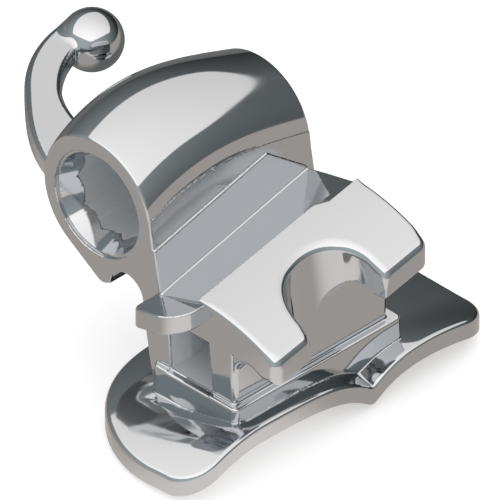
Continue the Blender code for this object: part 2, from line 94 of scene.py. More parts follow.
def pad_face(x, y):
    """Height of the pad's outer face.

    It falls with the square of the distance to both ends and to the gingival edge, and once more
    along the mesial lobe. At the front edge it becomes a wide arch less a valley that dies away
    exponentially from the groove.
    """
    lobe = np.maximum(0.0, LOBE_Y - y) ** 2
    bend = -PAD_END_DROP * ((y - PAD_MIDDLE_Y) / PAD_HALF_LENGTH) ** 2
    bend = bend - PAD_BACK_DROP * np.maximum(0.0, (PAD_MIDDLE_X - x) / PAD_HALF_WIDTH) ** 2
    bend = bend - LOBE_BACK_FALL * lobe
    arch = ARCH_HEIGHT - ARCH_FALL * (np.maximum(0.0, y - ARCH_Y) / ARCH_REACH) ** 3
    arch = arch - LOBE_FRONT_FALL * lobe
    away = np.sqrt((y - GROOVE_Y) ** 2 + GROOVE_ROUND ** 2) - GROOVE_ROUND
    valley = GROOVE_DEPTH * np.exp(-away / GROOVE_REACH)
    start = BLEND_START - BLEND_SHIFT * ease((BLEND_Y - y) / BLEND_LENGTH)
    share = ease((x - start) / (PAD_FRONT - start))
    return bend + share * (arch - valley - bend)


def pad_outline(x, y):
    """Distance to the pad's outline: four sides with a round of its own at each corner."""
    front, back = x - PAD_FRONT, PAD_BACK - x
    distal, mesial = y - PAD_DISTAL, PAD_MESIAL - y
    near = both(front, mesial, CORNER_ROUNDS["near"])
    far = both(front, distal, CORNER_ROUNDS["far"])
    near_back = both(back, mesial, CORNER_ROUNDS["near_back"])
    far_back = both(back, distal, CORNER_ROUNDS["far_back"])
    return np.maximum(np.maximum(near, far), np.maximum(near_back, far_back))


def pad(x, y, z):
    """Leaf of even thickness between its face and the same face lowered, with rounded rims."""
    face = pad_face(x, y)
    leaf = both(pad_outline(x, y), (z - face) / PAD_STEEPNESS, PAD_TOP_ROUND)
    return both(leaf, (face - PAD_THICKNESS - z) / PAD_STEEPNESS, PAD_UNDER_ROUND)


# ---------------------------------------------------------------------------------------------
# Plinth
# The low step between the pad and the body, moulded with both. Its walls stand upright on the
# pad.

PLINTH_X, PLINTH_HALF_WIDTH = 0.4465, 0.7265
PLINTH_Y, PLINTH_HALF_LENGTH = -0.02, 1.44
PLINTH_HEIGHT, PLINTH_CORNER, PLINTH_RIM, PLINTH_BITE = 0.305, 0.08, 0.035, 0.04


def plinth(x, y, z):
    """Box with rounded upright corners and a finely rounded top rim, rooted in the pad's face."""
    across = np.abs(x - PLINTH_X) - PLINTH_HALF_WIDTH
    along = np.abs(y - PLINTH_Y) - PLINTH_HALF_LENGTH
    box = both(both(across, along, PLINTH_CORNER), z - PLINTH_HEIGHT, PLINTH_RIM)
    return np.maximum(box, pad_face(x, y) - PLINTH_BITE - z)


# ---------------------------------------------------------------------------------------------
# Headgear tube
# The round tube for the headgear bow, barrel-shaped on the outside, with a lengthwise foot and a
# relief groove below it. Its bore is ten-sided behind a turned lead-in.

TUBE_X, TUBE_Z, TUBE_RADIUS = -1.306, 2.115, 0.915
TUBE_LENGTH, TUBE_MIDDLE_Y, TUBE_RIM = 2.78, 0.01, 0.035
TUBE_SWELL, TUBE_TAPER, TUBE_ARCH, FULLEST_POWER = 0.065, 0.045, 0.23, 0.85
TUBE_FILLET = 0.02
FOOT_X, FOOT_Z, FOOT_RADIUS = -1.22, 1.146, 0.146
RELIEF_X, RELIEF_Z, RELIEF_RADIUS = -0.805, 1.043, 0.2816
WALL_LEAN = math.radians(10.0)
WALL_X, WALL_Z = math.cos(WALL_LEAN), math.sin(WALL_LEAN)
LEG_FOOT_X, LEG_BACK = -0.34, (0.9860, 0.1667)
WEB_BACK_X, WEB_TOP_Z = -1.25, 1.9
BORE_SIDES, BORE_FLAT, BORE_RIM = 10, 0.573, 0.015
MOUTH_RADIUS, MOUTH_DEPTH = 0.726, 0.04
CONE_RADIUS, CONE_END_RADIUS, CONE_DEPTH, CONE_STEEPNESS = 0.690, 0.533, 0.38, 0.92


def tube_share(y):
    """Share of the barrel's bulge: a sine over the length, fullest a little mesially."""
    t = np.clip((y - MESIAL_Y) / TUBE_LENGTH, 0.001, 1.0)
    return np.sin(np.pi * t ** FULLEST_POWER)


def between(px, pz, ax, az, bx, bz, ra, rb):
    """Distance in the section to the hull of two circles, a of radius ra and b of radius rb."""
    dx, dz = bx - ax, bz - az
    length = np.hypot(dx, dz)
    ux, uz = dx / length, dz / length
    along = (px - ax) * ux + (pz - az) * uz
    aside = np.abs(-(px - ax) * uz + (pz - az) * ux)
    sine = (ra - rb) / length
    cosine = np.sqrt(1.0 - sine ** 2)
    key = along * cosine - aside * sine
    hull = aside * cosine + along * sine - ra
    near = np.hypot(aside, along) - ra
    far = np.hypot(aside, along - length) - rb
    return np.where(key < 0.0, near, np.where(key > length * cosine, far, hull))


def tube_wall(x, z):
    """Distance to the leaning plane of the tube's wall on the side of the body."""
    return WALL_X * (x - TUBE_X) + WALL_Z * (z - TUBE_Z) - TUBE_RADIUS


def tube_section(x, y, z):
    """Distance to the tube's section: barrel, foot and leg, less the relief groove."""
    share = tube_share(y)
    growth = TUBE_SWELL * share - TUBE_TAPER * (y - MESIAL_Y) / TUBE_LENGTH
    cx = TUBE_X - WALL_X * growth - WALL_Z * TUBE_ARCH * share
    cz = TUBE_Z - WALL_Z * growth + WALL_X * TUBE_ARCH * share
    barrel = between(x, z, cx, cz, FOOT_X, FOOT_Z, TUBE_RADIUS + growth, FOOT_RADIUS)
    wall = tube_wall(x, z)
    back = -(LEG_BACK[0] * (x - LEG_FOOT_X) + LEG_BACK[1] * (z - ROOT_Z))
    past_tangent = WALL_X * (z - cz) - WALL_Z * (x - cx)
    leg = np.maximum(np.maximum(wall, back), np.maximum(past_tangent, ROOT_Z - z))
    web = np.maximum(np.maximum(wall, WEB_BACK_X - x), np.maximum(z - WEB_TOP_Z, RELIEF_Z - z))
    relief = np.hypot(x - RELIEF_X, z - RELIEF_Z) - RELIEF_RADIUS
    solid = join(barrel, np.minimum(leg, web), TUBE_FILLET)
    return both(solid, -relief, TUBE_FILLET)


def bore(x, y, z):
    """Distance to the hollow: a ten-sided prism, and at each end a cone behind a stepped mouth."""
    rx, rz = x - TUBE_X, z - TUBE_Z
    away = np.hypot(rx, rz)
    step = 2.0 * np.pi / BORE_SIDES
    local = (np.arctan2(rz, rx) + np.pi) % step - step / 2.0
    prism = away * np.cos(local) - BORE_FLAT
    depth = TUBE_LENGTH / 2.0 - np.abs(y - TUBE_MIDDLE_Y)
    narrowing = (CONE_RADIUS - CONE_END_RADIUS) / CONE_DEPTH
    cone = away - (CONE_RADIUS - (depth - MOUTH_DEPTH) * narrowing)
    cone = np.maximum(cone * CONE_STEEPNESS, depth - MOUTH_DEPTH - CONE_DEPTH)
    mouth = np.maximum(away - MOUTH_RADIUS, depth - MOUTH_DEPTH)
    return np.minimum(np.minimum(prism, cone), mouth)


# ---------------------------------------------------------------------------------------------
# Body with the archwire slot, and the occlusal tie-wing
# The block that carries the rectangular slot rises towards its distal end. Its roof falls to a
# valley at the tube, and its wing overhangs the stem, where the ligature is tied.

RISE_SLOPE = math.tan(math.radians(12.0))
BODY_MIDDLE_Y, BODY_HALF_LENGTH, BODY_DISTAL_Y = -0.055, 1.325, 1.27
VALLEY_X, VALLEY_Z, ROOF_SLOPE, ROOF_STEEPNESS = -0.24, 1.311, 0.322, 0.93
FACET_SLOPE, FACET_RISE, FACET_BACK_X, FACET_FRONT_X = 0.232, 0.052, -0.26, 0.545
BLOCK_BACK_X, BLOCK_BACK_Z, BLOCK_BACK = -0.44, 1.043, (0.9950, 0.1000)
CROWN_X, CROWN_Z, CROWN_RADIUS = 0.4788, -1.1253, 2.7
SEAT_PROUD, SEAT_DEPTH, SEAT_HEIGHT, SEAT_BOTTOM = 0.03, 0.20, 0.60, 1.0
SEAT_END_Y, SEAT_END_LENGTH, SEAT_STEEPNESS, SEAT_ROUND = 0.64, 0.63, 0.9, 0.02
STEM_X, STEM_ARCH, STEM_INSIDE_X, STEM_TOP = 1.073, 0.23, 1.0, 1.1
WING_TIP_X, WING_ROOT_X, WING_UNDER, WING_STEEPNESS = 1.79, 0.45, 0.985, 0.98
WING_TIP_ROUND, WING_LIP_ROUND = 0.10, 0.05
LIP_DROP, LIP_X, LIP_LENGTH = 0.10, 1.30, 0.34
NOTCH_X, NOTCH_Y, NOTCH_TOP, NOTCH_RADIUS, NOTCH_FLOOR = 1.512, -0.11, 1.573, 0.61, 0.45
NOTCH_LEAN, NOTCH_MESIAL_FLARE, NOTCH_DISTAL_FLARE = 0.156, 0.25, 0.10
MESIAL_STEEPNESS, DISTAL_STEEPNESS = 0.97, 0.995
SLOT_X, SLOT_FLOOR, SLOT_HEIGHT, SLOT_HALF_WIDTH = 0.33, 0.311, 0.71, 0.28
SLOT_LEAN, SLOT_FLARE, SLOT_FLARE_LENGTH = math.tan(math.radians(5.0)), 0.075, 0.30


def rise(y):
    """Height gained from the mesial end: the distance along it times the tangent of 12 degrees."""
    return (y - MESIAL_Y) * RISE_SLOPE


def crown_distance(x, s):
    """Distance to the wing's crowned top, an arc across the wing."""
    return np.hypot(x - CROWN_X, s - CROWN_Z) - CROWN_RADIUS


def block_section(x, y, z):
    """Distance to the block's section below the roof, in heights less the rise."""
    s = z - rise(y)
    roof = (s - VALLEY_Z - ROOF_SLOPE * (x - VALLEY_X)) * ROOF_STEEPNESS
    back = -(BLOCK_BACK[0] * (x - BLOCK_BACK_X) + BLOCK_BACK[1] * (s - BLOCK_BACK_Z))
    top = np.maximum(roof, crown_distance(x, s))
    return np.maximum(np.maximum(x - STEM_X, back), np.maximum(top, ROOT_Z - z))


def facet_section(x, y, z):
    """Distance to the flat seat against the tube: a slab with a ledge for its upper edge."""
    s = z - rise(y)
    outer = tube_wall(x, z) - SEAT_PROUD
    height = SEAT_HEIGHT - SEAT_HEIGHT * np.maximum(0.0, (y - SEAT_END_Y) / SEAT_END_LENGTH)
    top = (s - VALLEY_Z - height) * SEAT_STEEPNESS
    slab = np.maximum(outer, -outer - SEAT_DEPTH)
    return both(slab, np.maximum(top, SEAT_BOTTOM - s), SEAT_ROUND)


def wing_section(x, y, z):
    """Distance to the wing's section: a crowned top, a square tip and a lip under it."""
    s = z - rise(y)
    under = WING_UNDER - s - LIP_DROP * ease((x - LIP_X) / LIP_LENGTH)
    tip = both(x - WING_TIP_X, crown_distance(x, s), WING_TIP_ROUND)
    plate = both(tip, under * WING_STEEPNESS, WING_LIP_ROUND)
    return np.maximum(plate, WING_ROOT_X - x)


def body_section(x, y, z):
    """Block and wing together, with the arch under the wing."""
    s = z - rise(y)
    across, up = x - STEM_X - STEM_ARCH, s - WING_UNDER
    corner = np.maximum(np.maximum(across, STEM_INSIDE_X - x), np.abs(up) - STEM_ARCH)
    hollow = STEM_ARCH - np.hypot(across, up + STEM_ARCH)
    gusset = np.maximum(corner, np.maximum(hollow, s - STEM_TOP))
    return np.minimum(np.minimum(block_section(x, y, z), wing_section(x, y, z)), gusset)


def notch(x, y, z):
    """Distance to the U notch: a leaning round-bottomed channel that flares to its mouth."""
    u = x - NOTCH_X - NOTCH_LEAN * (NOTCH_TOP + rise(NOTCH_Y) - z)
    v = y - NOTCH_Y
    circle = np.hypot(u, v) - NOTCH_RADIUS
    mesial = (-v - NOTCH_RADIUS - NOTCH_MESIAL_FLARE * u) * MESIAL_STEEPNESS
    distal = (v - NOTCH_RADIUS - NOTCH_DISTAL_FLARE * u) * DISTAL_STEEPNESS
    channel = np.maximum(np.maximum(mesial, distal), -u)
    return np.maximum(np.minimum(circle, channel), NOTCH_FLOOR - z)


def slot(x, y, z):
    """Distance to the slot: a leaning rectangle along the rise, wider at both mouths."""
    height = z - rise(y) - SLOT_FLOOR
    end = BODY_HALF_LENGTH - np.abs(y - BODY_MIDDLE_Y)
    wide = SLOT_HALF_WIDTH + SLOT_FLARE * np.clip(1.0 - end / SLOT_FLARE_LENGTH, 0.0, 1.0)
    across = np.abs(x - SLOT_X + height * SLOT_LEAN) - wide
    return np.maximum(across, np.maximum(-height, height - SLOT_HEIGHT))


def roof_facet(x, y, z):
    """Distance to the space above the flatter distal facet of the roof."""
    end_height = VALLEY_Z + rise(BODY_DISTAL_Y)
    plane = end_height + FACET_SLOPE * (x - VALLEY_X) + FACET_RISE * (y - BODY_DISTAL_Y) - z
    return np.maximum(plane, np.maximum(x - FACET_FRONT_X, FACET_BACK_X - x))


# ---------------------------------------------------------------------------------------------
# Hood over the slot's mouth
# A small plate that carries the roof out over the mesial mouth and guides the wire in. It is
# level along its length and its front is rounded in plan.

HOOD_MESIAL_Y, HOOD_DISTAL_Y, HOOD_FRONT_X, HOOD_BACK_X = -1.81, -1.26, 0.493, -0.29
HOOD_FRONT_ROUND, HOOD_BACK_ROUND, HOOD_RIM = 0.36, 0.14, 0.03
HOOD_THICKNESS, HOOD_STEEPNESS = 0.268, 0.974


def hood(x, y, z):
    """Sloping plate whose plan has a tight and a wide front corner."""
    top = (z - VALLEY_Z - FACET_SLOPE * (x - VALLEY_X)) * HOOD_STEEPNESS
    front = HOOD_MESIAL_Y - y
    wide_corner = both(x - HOOD_FRONT_X, front, HOOD_FRONT_ROUND)
    tight_corner = both(HOOD_BACK_X - x, front, HOOD_BACK_ROUND)
    plan = np.maximum(np.maximum(wide_corner, tight_corner), y - HOOD_DISTAL_Y)
    return both(both(plan, top, HOOD_RIM), -top - HOOD_THICKNESS, HOOD_RIM)


# ---------------------------------------------------------------------------------------------
# Ball hook
# A flattened bar that leaves the tube's gingival side and turns distally to a ball, where the
# elastics are hooked. It is moulded with the tube and tapers from its root.

HOOK_KNOTS = np.array([[-2.05, -0.97], [-3.05, -0.68], [-3.97, 0.06], [-3.98, 1.03]])
HOOK_STEPS = 32
HOOK_Z, HOOK_HALF_THICKNESS, HOOK_ROUND = 2.13, 0.15, 0.09
HOOK_HALF_WIDTH, HOOK_ROOT_EXTRA, HOOK_ROOT_SHARE = 0.23, 0.16, 0.5
BALL_X, BALL_Y, BALL_RADIUS, BALL_FILLET = -3.804, 1.037, 0.402, 0.06
# The bar's distance is worked out only in this space, and counts as far away outside it
HOOK_SPACE_X, HOOK_SPACE_Z, HOOK_SPACE_HALF_HEIGHT, FAR_AWAY = -1.6, 2.15, 0.8, 9.0


def hook(x, y, z):
    """Bar along a cubic curve of four points, of rounded rectangular section, and the ball."""
    t = np.linspace(0.0, 1.0, HOOK_STEPS + 1)[:, None]
    s = 1.0 - t
    a, b, c, d = HOOK_KNOTS
    path = a * s ** 3 + b * 3 * s * s * t + c * 3 * s * t * t + d * t ** 3
    best = np.full(x.shape, FAR_AWAY)
    place = np.zeros(x.shape)
    near = (x < HOOK_SPACE_X) & (np.abs(z - HOOK_SPACE_Z) < HOOK_SPACE_HALF_HEIGHT)
    px, py = x[near], y[near]
    low, where = best[near], place[near]
    for i in range(HOOK_STEPS):
        (ax, ay), (bx, by) = path[i], path[i + 1]
        dx, dy = bx - ax, by - ay
        share = np.clip(((px - ax) * dx + (py - ay) * dy) / (dx * dx + dy * dy), 0.0, 1.0)
        away = np.hypot(px - ax - share * dx, py - ay - share * dy)
        closer = away < low
        low = np.where(closer, away, low)
        where = np.where(closer, (i + share) / HOOK_STEPS, where)
    best[near], place[near] = low, where
    half = HOOK_HALF_WIDTH + HOOK_ROOT_EXTRA * (1.0 - ease(place / HOOK_ROOT_SHARE))
    bar = both(best - half, np.abs(z - HOOK_Z) - HOOK_HALF_THICKNESS, HOOK_ROUND)
    to_ball = np.sqrt((x - BALL_X) ** 2 + (y - BALL_Y) ** 2 + (z - HOOK_Z) ** 2)
    return join(bar, to_ball - BALL_RADIUS, BALL_FILLET)


# ---------------------------------------------------------------------------------------------
# The whole piece as one skin
# All the forms above are one moulding, so they are joined with the small fillets that a mould
# leaves, then the slot, the notch and the bore are taken out and the skin is meshed once.

HOOK_FILLET, VALLEY_FILLET, FOOT_FILLET = 0.05, 0.035, 0.02
BODY_RIM, BODY_RIM_EXTRA, BODY_RIM_X, BODY_RIM_LENGTH = 0.03, 0.045, 0.50, 0.2
TIP_RIM_EXTRA, TIP_RIM_X, TIP_RIM_LENGTH = 0.06, 1.50, 0.25
FACET_EDGE, SLOT_EDGE = 0.015, 0.02
NOTCH_EDGE, NOTCH_EDGE_EXTRA, NOTCH_EDGE_Z, NOTCH_EDGE_LENGTH = 0.02, 0.08, 0.95, 0.3


def attachment(x, y, z):
    """Distance to the surface of the whole piece, below zero inside."""
    tube_ends = np.abs(y - TUBE_MIDDLE_Y) - TUBE_LENGTH / 2.0
    tube = both(tube_section(x, y, z), tube_ends, TUBE_RIM)
    tube = join(tube, hook(x, y, z), HOOK_FILLET)
    tube = both(tube, -bore(x, y, z), BORE_RIM)
    rim = BODY_RIM + BODY_RIM_EXTRA * ease((x - BODY_RIM_X) / BODY_RIM_LENGTH)
    rim = rim + TIP_RIM_EXTRA * ease((x - TIP_RIM_X) / TIP_RIM_LENGTH)
    body = join(body_section(x, y, z), facet_section(x, y, z), VALLEY_FILLET)
    body = both(body, np.abs(y - BODY_MIDDLE_Y) - BODY_HALF_LENGTH, rim)
    body = both(body, -roof_facet(x, y, z), FACET_EDGE)
    base = join(pad(x, y, z), plinth(x, y, z), FOOT_FILLET)
    solid = join(np.minimum(tube, body), base, FOOT_FILLET)
    solid = np.minimum(solid, hood(x, y, z))
    solid = both(solid, -slot(x, y, z), SLOT_EDGE)
    s = z - rise(y)
    edge = NOTCH_EDGE + NOTCH_EDGE_EXTRA * ease((s - NOTCH_EDGE_Z) / NOTCH_EDGE_LENGTH)
    return both(solid, -notch(x, y, z), edge)


def slope(solid, points, reach=0.002):
    """Gradient of the distance function by central differences."""
    result = np.empty_like(points)
    for axis in range(3):
        shift = np.zeros(3)
        shift[axis] = reach
        ahead, behind = points + shift, points - shift
        result[:, axis] = solid(*ahead.T) - solid(*behind.T)
    return result / (2.0 * reach)


def skin(solid, low, high, step):
    """Mesh the zero surface of a distance function with one point per crossed cell.

    A coarse grid finds the cells near the surface. In each crossed cell the point is the least
    squares meeting of the tangent planes at the cell's crossed edges, which keeps edges crisp.
    """
    block, margin = 4, 1.05
    pull_share, slack = 0.03, 0.1 * step
    counts = [int(math.ceil((h - l) / (step * block))) * block for l, h in zip(low, high)]
    axes = [l + step * np.arange(n) for l, n in zip(low, counts)]
    middle = [a[::block] + step * (block - 1) / 2.0 for a in axes]
    cx, cy, cz = np.meshgrid(*middle, indexing="ij")
    coarse = solid(cx.ravel(), cy.ravel(), cz.ravel()).reshape(cx.shape)
    reach = step * block * margin
    values = np.repeat(np.repeat(np.repeat(np.sign(coarse), block, 0), block, 1), block, 2)
    values = values.astype(np.float32)
    close = np.argwhere(np.abs(coarse) < reach)
    inner = np.arange(block)
    oi, oj, ok = np.meshgrid(inner, inner, inner, indexing="ij")
    fi = (close[:, 0:1] * block + oi.ravel()).ravel()
    fj = (close[:, 1:2] * block + oj.ravel()).ravel()
    fl = (close[:, 2:3] * block + ok.ravel()).ravel()
    found = solid(axes[0][fi], axes[1][fj], axes[2][fl])
    values[fi, fj, fl] = found
    inside = values < 0.0
    crossed = np.zeros(tuple(n - 1 for n in counts), dtype=np.int8)
    for i in (0, 1):
        for j in (0, 1):
            for k in (0, 1):
                stop = [n - 1 + o for n, o in zip(counts, (i, j, k))]
                crossed += inside[i:stop[0], j:stop[1], k:stop[2]]
    cells = np.argwhere((crossed > 0) & (crossed < 8))
    index = np.full(crossed.shape, -1, dtype=np.int32)
    index[cells[:, 0], cells[:, 1], cells[:, 2]] = np.arange(len(cells))
    sums = np.zeros((13, len(cells)))
    for axis in range(3):
        others = [a for a in range(3) if a != axis]
        here = [slice(1, n - 1) for n in counts]
        here[axis] = slice(0, counts[axis] - 1)
        ahead = list(here)
        ahead[axis] = slice(1, counts[axis])
        start = np.argwhere(inside[tuple(here)] != inside[tuple(ahead)]) + 1
        start[:, axis] -= 1
        end = start.copy()
        end[:, axis] += 1
        a = values[start[:, 0], start[:, 1], start[:, 2]].astype(float)
        b = values[end[:, 0], end[:, 1], end[:, 2]].astype(float)
        spot = start.astype(float)
        spot[:, axis] += a / (a - b)
        spot = spot * step + np.array(low)
        facing = slope(solid, spot)
        facing /= np.maximum(np.linalg.norm(facing, axis=1), 1e-9)[:, None]
        gx, gy, gz = facing.T
        flat = (facing * spot).sum(1)
        rows = [gx * gx, gx * gy, gx * gz, gy * gy, gy * gz, gz * gz]
        rows += [gx * flat, gy * flat, gz * flat, *spot.T, np.ones(len(spot))]
        for first in (0, 1):
            for second in (0, 1):
                cell = start.copy()
                cell[:, others[0]] -= first
                cell[:, others[1]] -= second
                owner = index[cell[:, 0], cell[:, 1], cell[:, 2]]
                for k, row in enumerate(rows):
                    sums[k] += np.bincount(owner, row, len(cells))
    number = np.maximum(sums[12], 1.0)
    middle = (sums[9:12] / number).T
    pull = pull_share * number
    matrix = np.empty((len(cells), 3, 3))
    for k, (i, j) in enumerate(((0, 0), (0, 1), (0, 2), (1, 1), (1, 2), (2, 2))):
        matrix[:, i, j] = matrix[:, j, i] = sums[k]
    for i in range(3):
        matrix[:, i, i] += pull
    side = sums[6:9].T + pull[:, None] * middle
    points = np.linalg.solve(matrix, side[:, :, None])[:, :, 0]
    corner = cells * step + np.array(low)
    points = np.clip(points, corner - slack, corner + step + slack)
    quads = []
    for axis in range(3):
        others = [a for a in range(3) if a != axis]
        here = [slice(1, n - 1) for n in counts]
        here[axis] = slice(0, counts[axis] - 1)
        ahead = list(here)
        ahead[axis] = slice(1, counts[axis])
        first, second = inside[tuple(here)], inside[tuple(ahead)]
        spots = np.argwhere(first != second)
        leaving = first[spots[:, 0], spots[:, 1], spots[:, 2]]
        base = spots + 1
        base[:, axis] -= 1
        ring = []
        for back_one, back_two in ((1, 1), (0, 1), (0, 0), (1, 0)):
            cell = base.copy()
            cell[:, others[0]] -= back_one
            cell[:, others[1]] -= back_two
            ring.append(index[cell[:, 0], cell[:, 1], cell[:, 2]])
        ring = np.stack(ring, axis=1)
        turn = leaving if axis != 1 else ~leaving
        quads.append(np.where(turn[:, None], ring, ring[:, ::-1]))
    return points, np.concatenate(quads)


def settle(solid, points, steps, most):
    """Newton steps onto the zero surface, each no longer than the most."""
    least_squared_slope = 0.05
    for _ in range(steps):
        gradient = slope(solid, points)
        size = np.maximum((gradient ** 2).sum(1), least_squared_slope)
        move = -gradient * (solid(*points.T) / size)[:, None]
        length = np.linalg.norm(move, axis=1)
        move *= np.minimum(1.0, most / np.maximum(length, 1e-9))[:, None]
        points = points + move
    return points


CELL = 0.016
PAD_REST = 0.5794
SKIN_LOW, SKIN_HIGH = (-4.263, -2.687, -0.663), (1.863, 2.829, 3.367)
MOST_TRIANGLES = 190000
CREASE = math.radians(22.0)
ON_SURFACE = 0.004
SATIN_SLOT_HALF, SATIN_BORE_HALF = 1.29, 0.97
VALLEY_LEFT_X, VALLEY_BOTTOM_Z, VALLEY_TOP_Z = -0.62, 1.25, 2.28


def quad_mesh(name, points, quads):
    """Mesh of four-cornered faces from arrays of points and corner indexes."""
    mesh = bpy.data.meshes.new(name)
    mesh.vertices.add(len(points))
    mesh.vertices.foreach_set("co", points.astype(np.float32).ravel())
    mesh.loops.add(quads.size)
    mesh.loops.foreach_set("vertex_index", quads.astype(np.int32).ravel())
    mesh.polygons.add(len(quads))
    mesh.polygons.foreach_set("loop_start", np.arange(0, quads.size, 4, dtype=np.int32))
    mesh.update(calc_edges=True)
    mesh.validate()
    return mesh


def unit(vectors):
    """Vectors scaled to a length of one."""
    return vectors / np.maximum(np.linalg.norm(vectors, axis=1), 1e-9)[:, None]


points, quads = skin(attachment, SKIN_LOW, SKIN_HIGH, CELL)
points = settle(attachment, points, 3, CELL * 0.5)
mesh = quad_mesh("attachment", points, quads)
steel_piece = bpy.data.objects.new("attachment", mesh)
bpy.context.scene.collection.objects.link(steel_piece)
if len(quads) * 2 > MOST_TRIANGLES:
    thinner = steel_piece.modifiers.new("thin_flats", "DECIMATE")
    thinner.ratio = MOST_TRIANGLES / (len(quads) * 2)
    graph = bpy.context.evaluated_depsgraph_get()
    mesh = bpy.data.meshes.new_from_object(steel_piece.evaluated_get(graph))
    steel_piece.modifiers.clear()
    steel_piece.data = mesh

places = np.empty(len(mesh.vertices) * 3, dtype=np.float32)
mesh.vertices.foreach_get("co", places)
places = settle(attachment, places.reshape(-1, 3).astype(float), 2, CELL * 0.3)
mesh.vertices.foreach_set("co", places.astype(np.float32).ravel())
corner_point = np.empty(len(mesh.loops), dtype=np.int32)
mesh.loops.foreach_get("vertex_index", corner_point)
face_size = np.empty(len(mesh.polygons), dtype=np.int32)
mesh.polygons.foreach_get("loop_total", face_size)
face_start = np.cumsum(face_size) - face_size
face_middle = np.add.reduceat(places[corner_point], face_start) / face_size[:, None]

# Faces in the slot and the bore, and those of the tube's wall above the valley of the roof
fx, fy, fz = face_middle.T
in_slot = np.abs(slot(fx, fy, fz)) < ON_SURFACE
in_slot &= np.abs(fy - BODY_MIDDLE_Y) < SATIN_SLOT_HALF
in_bore = np.abs(bore(fx, fy, fz)) < ON_SURFACE
in_bore &= np.abs(fy - TUBE_MIDDLE_Y) < SATIN_BORE_HALF
in_valley = np.abs(tube_section(fx, fy, fz)) < ON_SURFACE
in_valley &= (fx > VALLEY_LEFT_X) & (fz > VALLEY_BOTTOM_Z)
in_valley &= fz < VALLEY_TOP_Z + TUBE_ARCH * tube_share(fy)

# Shading normals come from the distance function, or from the face where a sharp edge is near
of_face = np.repeat(unit(slope(attachment, face_middle)), face_size, axis=0)
of_point = unit(slope(attachment, places))[corner_point]
apart = (of_face * of_point).sum(1) < math.cos(CREASE)
corner_normals = np.where(apart[:, None], of_face, of_point)
places += (0.0, -PAD_MIDDLE_Y, PAD_REST)
mesh.vertices.foreach_set("co", (places * MM).astype(np.float32).ravel())
mesh.update()
mesh.polygons.foreach_set("use_smooth", np.ones(len(mesh.polygons), dtype=bool))
mesh.normals_split_custom_set(corner_normals.tolist())

# ---------------------------------------------------------------------------------------------
# Finish of the piece
# Electropolished stainless steel: a bright mirror that tumbling has left slightly soft, with
# faint lines from the media on it. The media reaches the openings and the valley less.

STEEL_COLOUR, SATIN_COLOUR = "#bcc0c4", "#d0d3d6"
SATIN_METALLIC, SATIN_ROUGHNESS, VALLEY_ROUGHNESS = 0.3, 0.4, 0.24
GLOSSIEST, DULLEST = 0.045, 0.095
LINE_STRETCH, LINES_PER_MM, PATCHES_PER_MM = 9, 4.0, 1.3
WAVE_HEIGHT = 0.0002


def linear(code):
    """Turn an sRGB hex colour into linear values."""
    parts = [int(code[i:i + 2], 16) / 255.0 for i in (1, 3, 5)]
    parts = [p / 12.92 if p <= 0.04045 else ((p + 0.055) / 1.055) ** 2.4 for p in parts]
    return (*parts, 1.0)


def add_node(tree, kind, settings=None, inputs=None):
    """Add a node, set its properties, and fill or link its inputs."""
    node = tree.nodes.new(kind)
    for name, value in (settings or {}).items():
        setattr(node, name, value)
    for name, value in (inputs or {}).items():
        if isinstance(value, bpy.types.NodeSocket):
            tree.links.new(value, node.inputs[name])
        else:
            node.inputs[name].default_value = value
    return node


def steel_finish(name, colour, metallic, roughness):
    """Even steel material of a colour, a metallic share and a roughness."""
    material = bpy.data.materials.new(name)
    material.use_nodes = True
    shader = material.node_tree.nodes["Principled BSDF"]
    shader.inputs["Base Color"].default_value = linear(colour)
    shader.inputs["Metallic"].default_value = metallic
    shader.inputs["Roughness"].default_value = roughness
    return material


steel = steel_finish("electropolished_stainless_steel", STEEL_COLOUR, 1.0, GLOSSIEST)
tree = steel.node_tree
shader = tree.nodes["Principled BSDF"]
# A stretched noise gives the fine lines, a wide one the slow change over the flats
here = add_node(tree, "ShaderNodeTexCoord").outputs["Object"]
in_mm = add_node(tree, "ShaderNodeMapping", inputs={"Vector": here, "Scale": (1 / MM,) * 3})
stretched = add_node(
    tree,
    "ShaderNodeMapping",
    inputs={"Vector": here, "Scale": (LINE_STRETCH / MM, 1 / MM, LINE_STRETCH / MM)},
)
fine = add_node(
    tree,
    "ShaderNodeTexNoise",
    inputs={"Vector": stretched.outputs[0], "Scale": LINES_PER_MM, "Detail": 3.0},
)
wide = add_node(
    tree,
    "ShaderNodeTexNoise",
    inputs={"Vector": in_mm.outputs[0], "Scale": PATCHES_PER_MM, "Detail": 2.0},
)
uneven = add_node(
    tree,
    "ShaderNodeMath",
    {"operation": "MULTIPLY"},
    {0: fine.outputs["Fac"], 1: wide.outputs["Fac"]},
)
gloss = add_node(
    tree,
    "ShaderNodeMapRange",
    inputs={
        "Value": uneven.outputs[0],
        "From Min": 0.1,
        "From Max": 0.45,
        "To Min": GLOSSIEST,
        "To Max": DULLEST,
    },
)
tree.links.new(gloss.outputs[0], shader.inputs["Roughness"])
waves = add_node(
    tree,
    "ShaderNodeBump",
    inputs={"Strength": 1.0, "Distance": WAVE_HEIGHT * MM, "Height": wide.outputs["Fac"]},
)
tree.links.new(waves.outputs[0], shader.inputs["Normal"])

mesh.materials.clear()
mesh.materials.append(steel)
mesh.materials.append(
    steel_finish("satin_steel_in_openings", SATIN_COLOUR, SATIN_METALLIC, SATIN_ROUGHNESS)
)
mesh.materials.append(
    steel_finish("soft_polished_steel_in_valley", STEEL_COLOUR, 1.0, VALLEY_ROUGHNESS)
)
finish = np.where(in_slot | in_bore, 1, np.where(in_valley, 2, 0))
mesh.polygons.foreach_set("material_index", finish.astype(np.int32))

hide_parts("buccal_tube")
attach(steel_piece, "root")
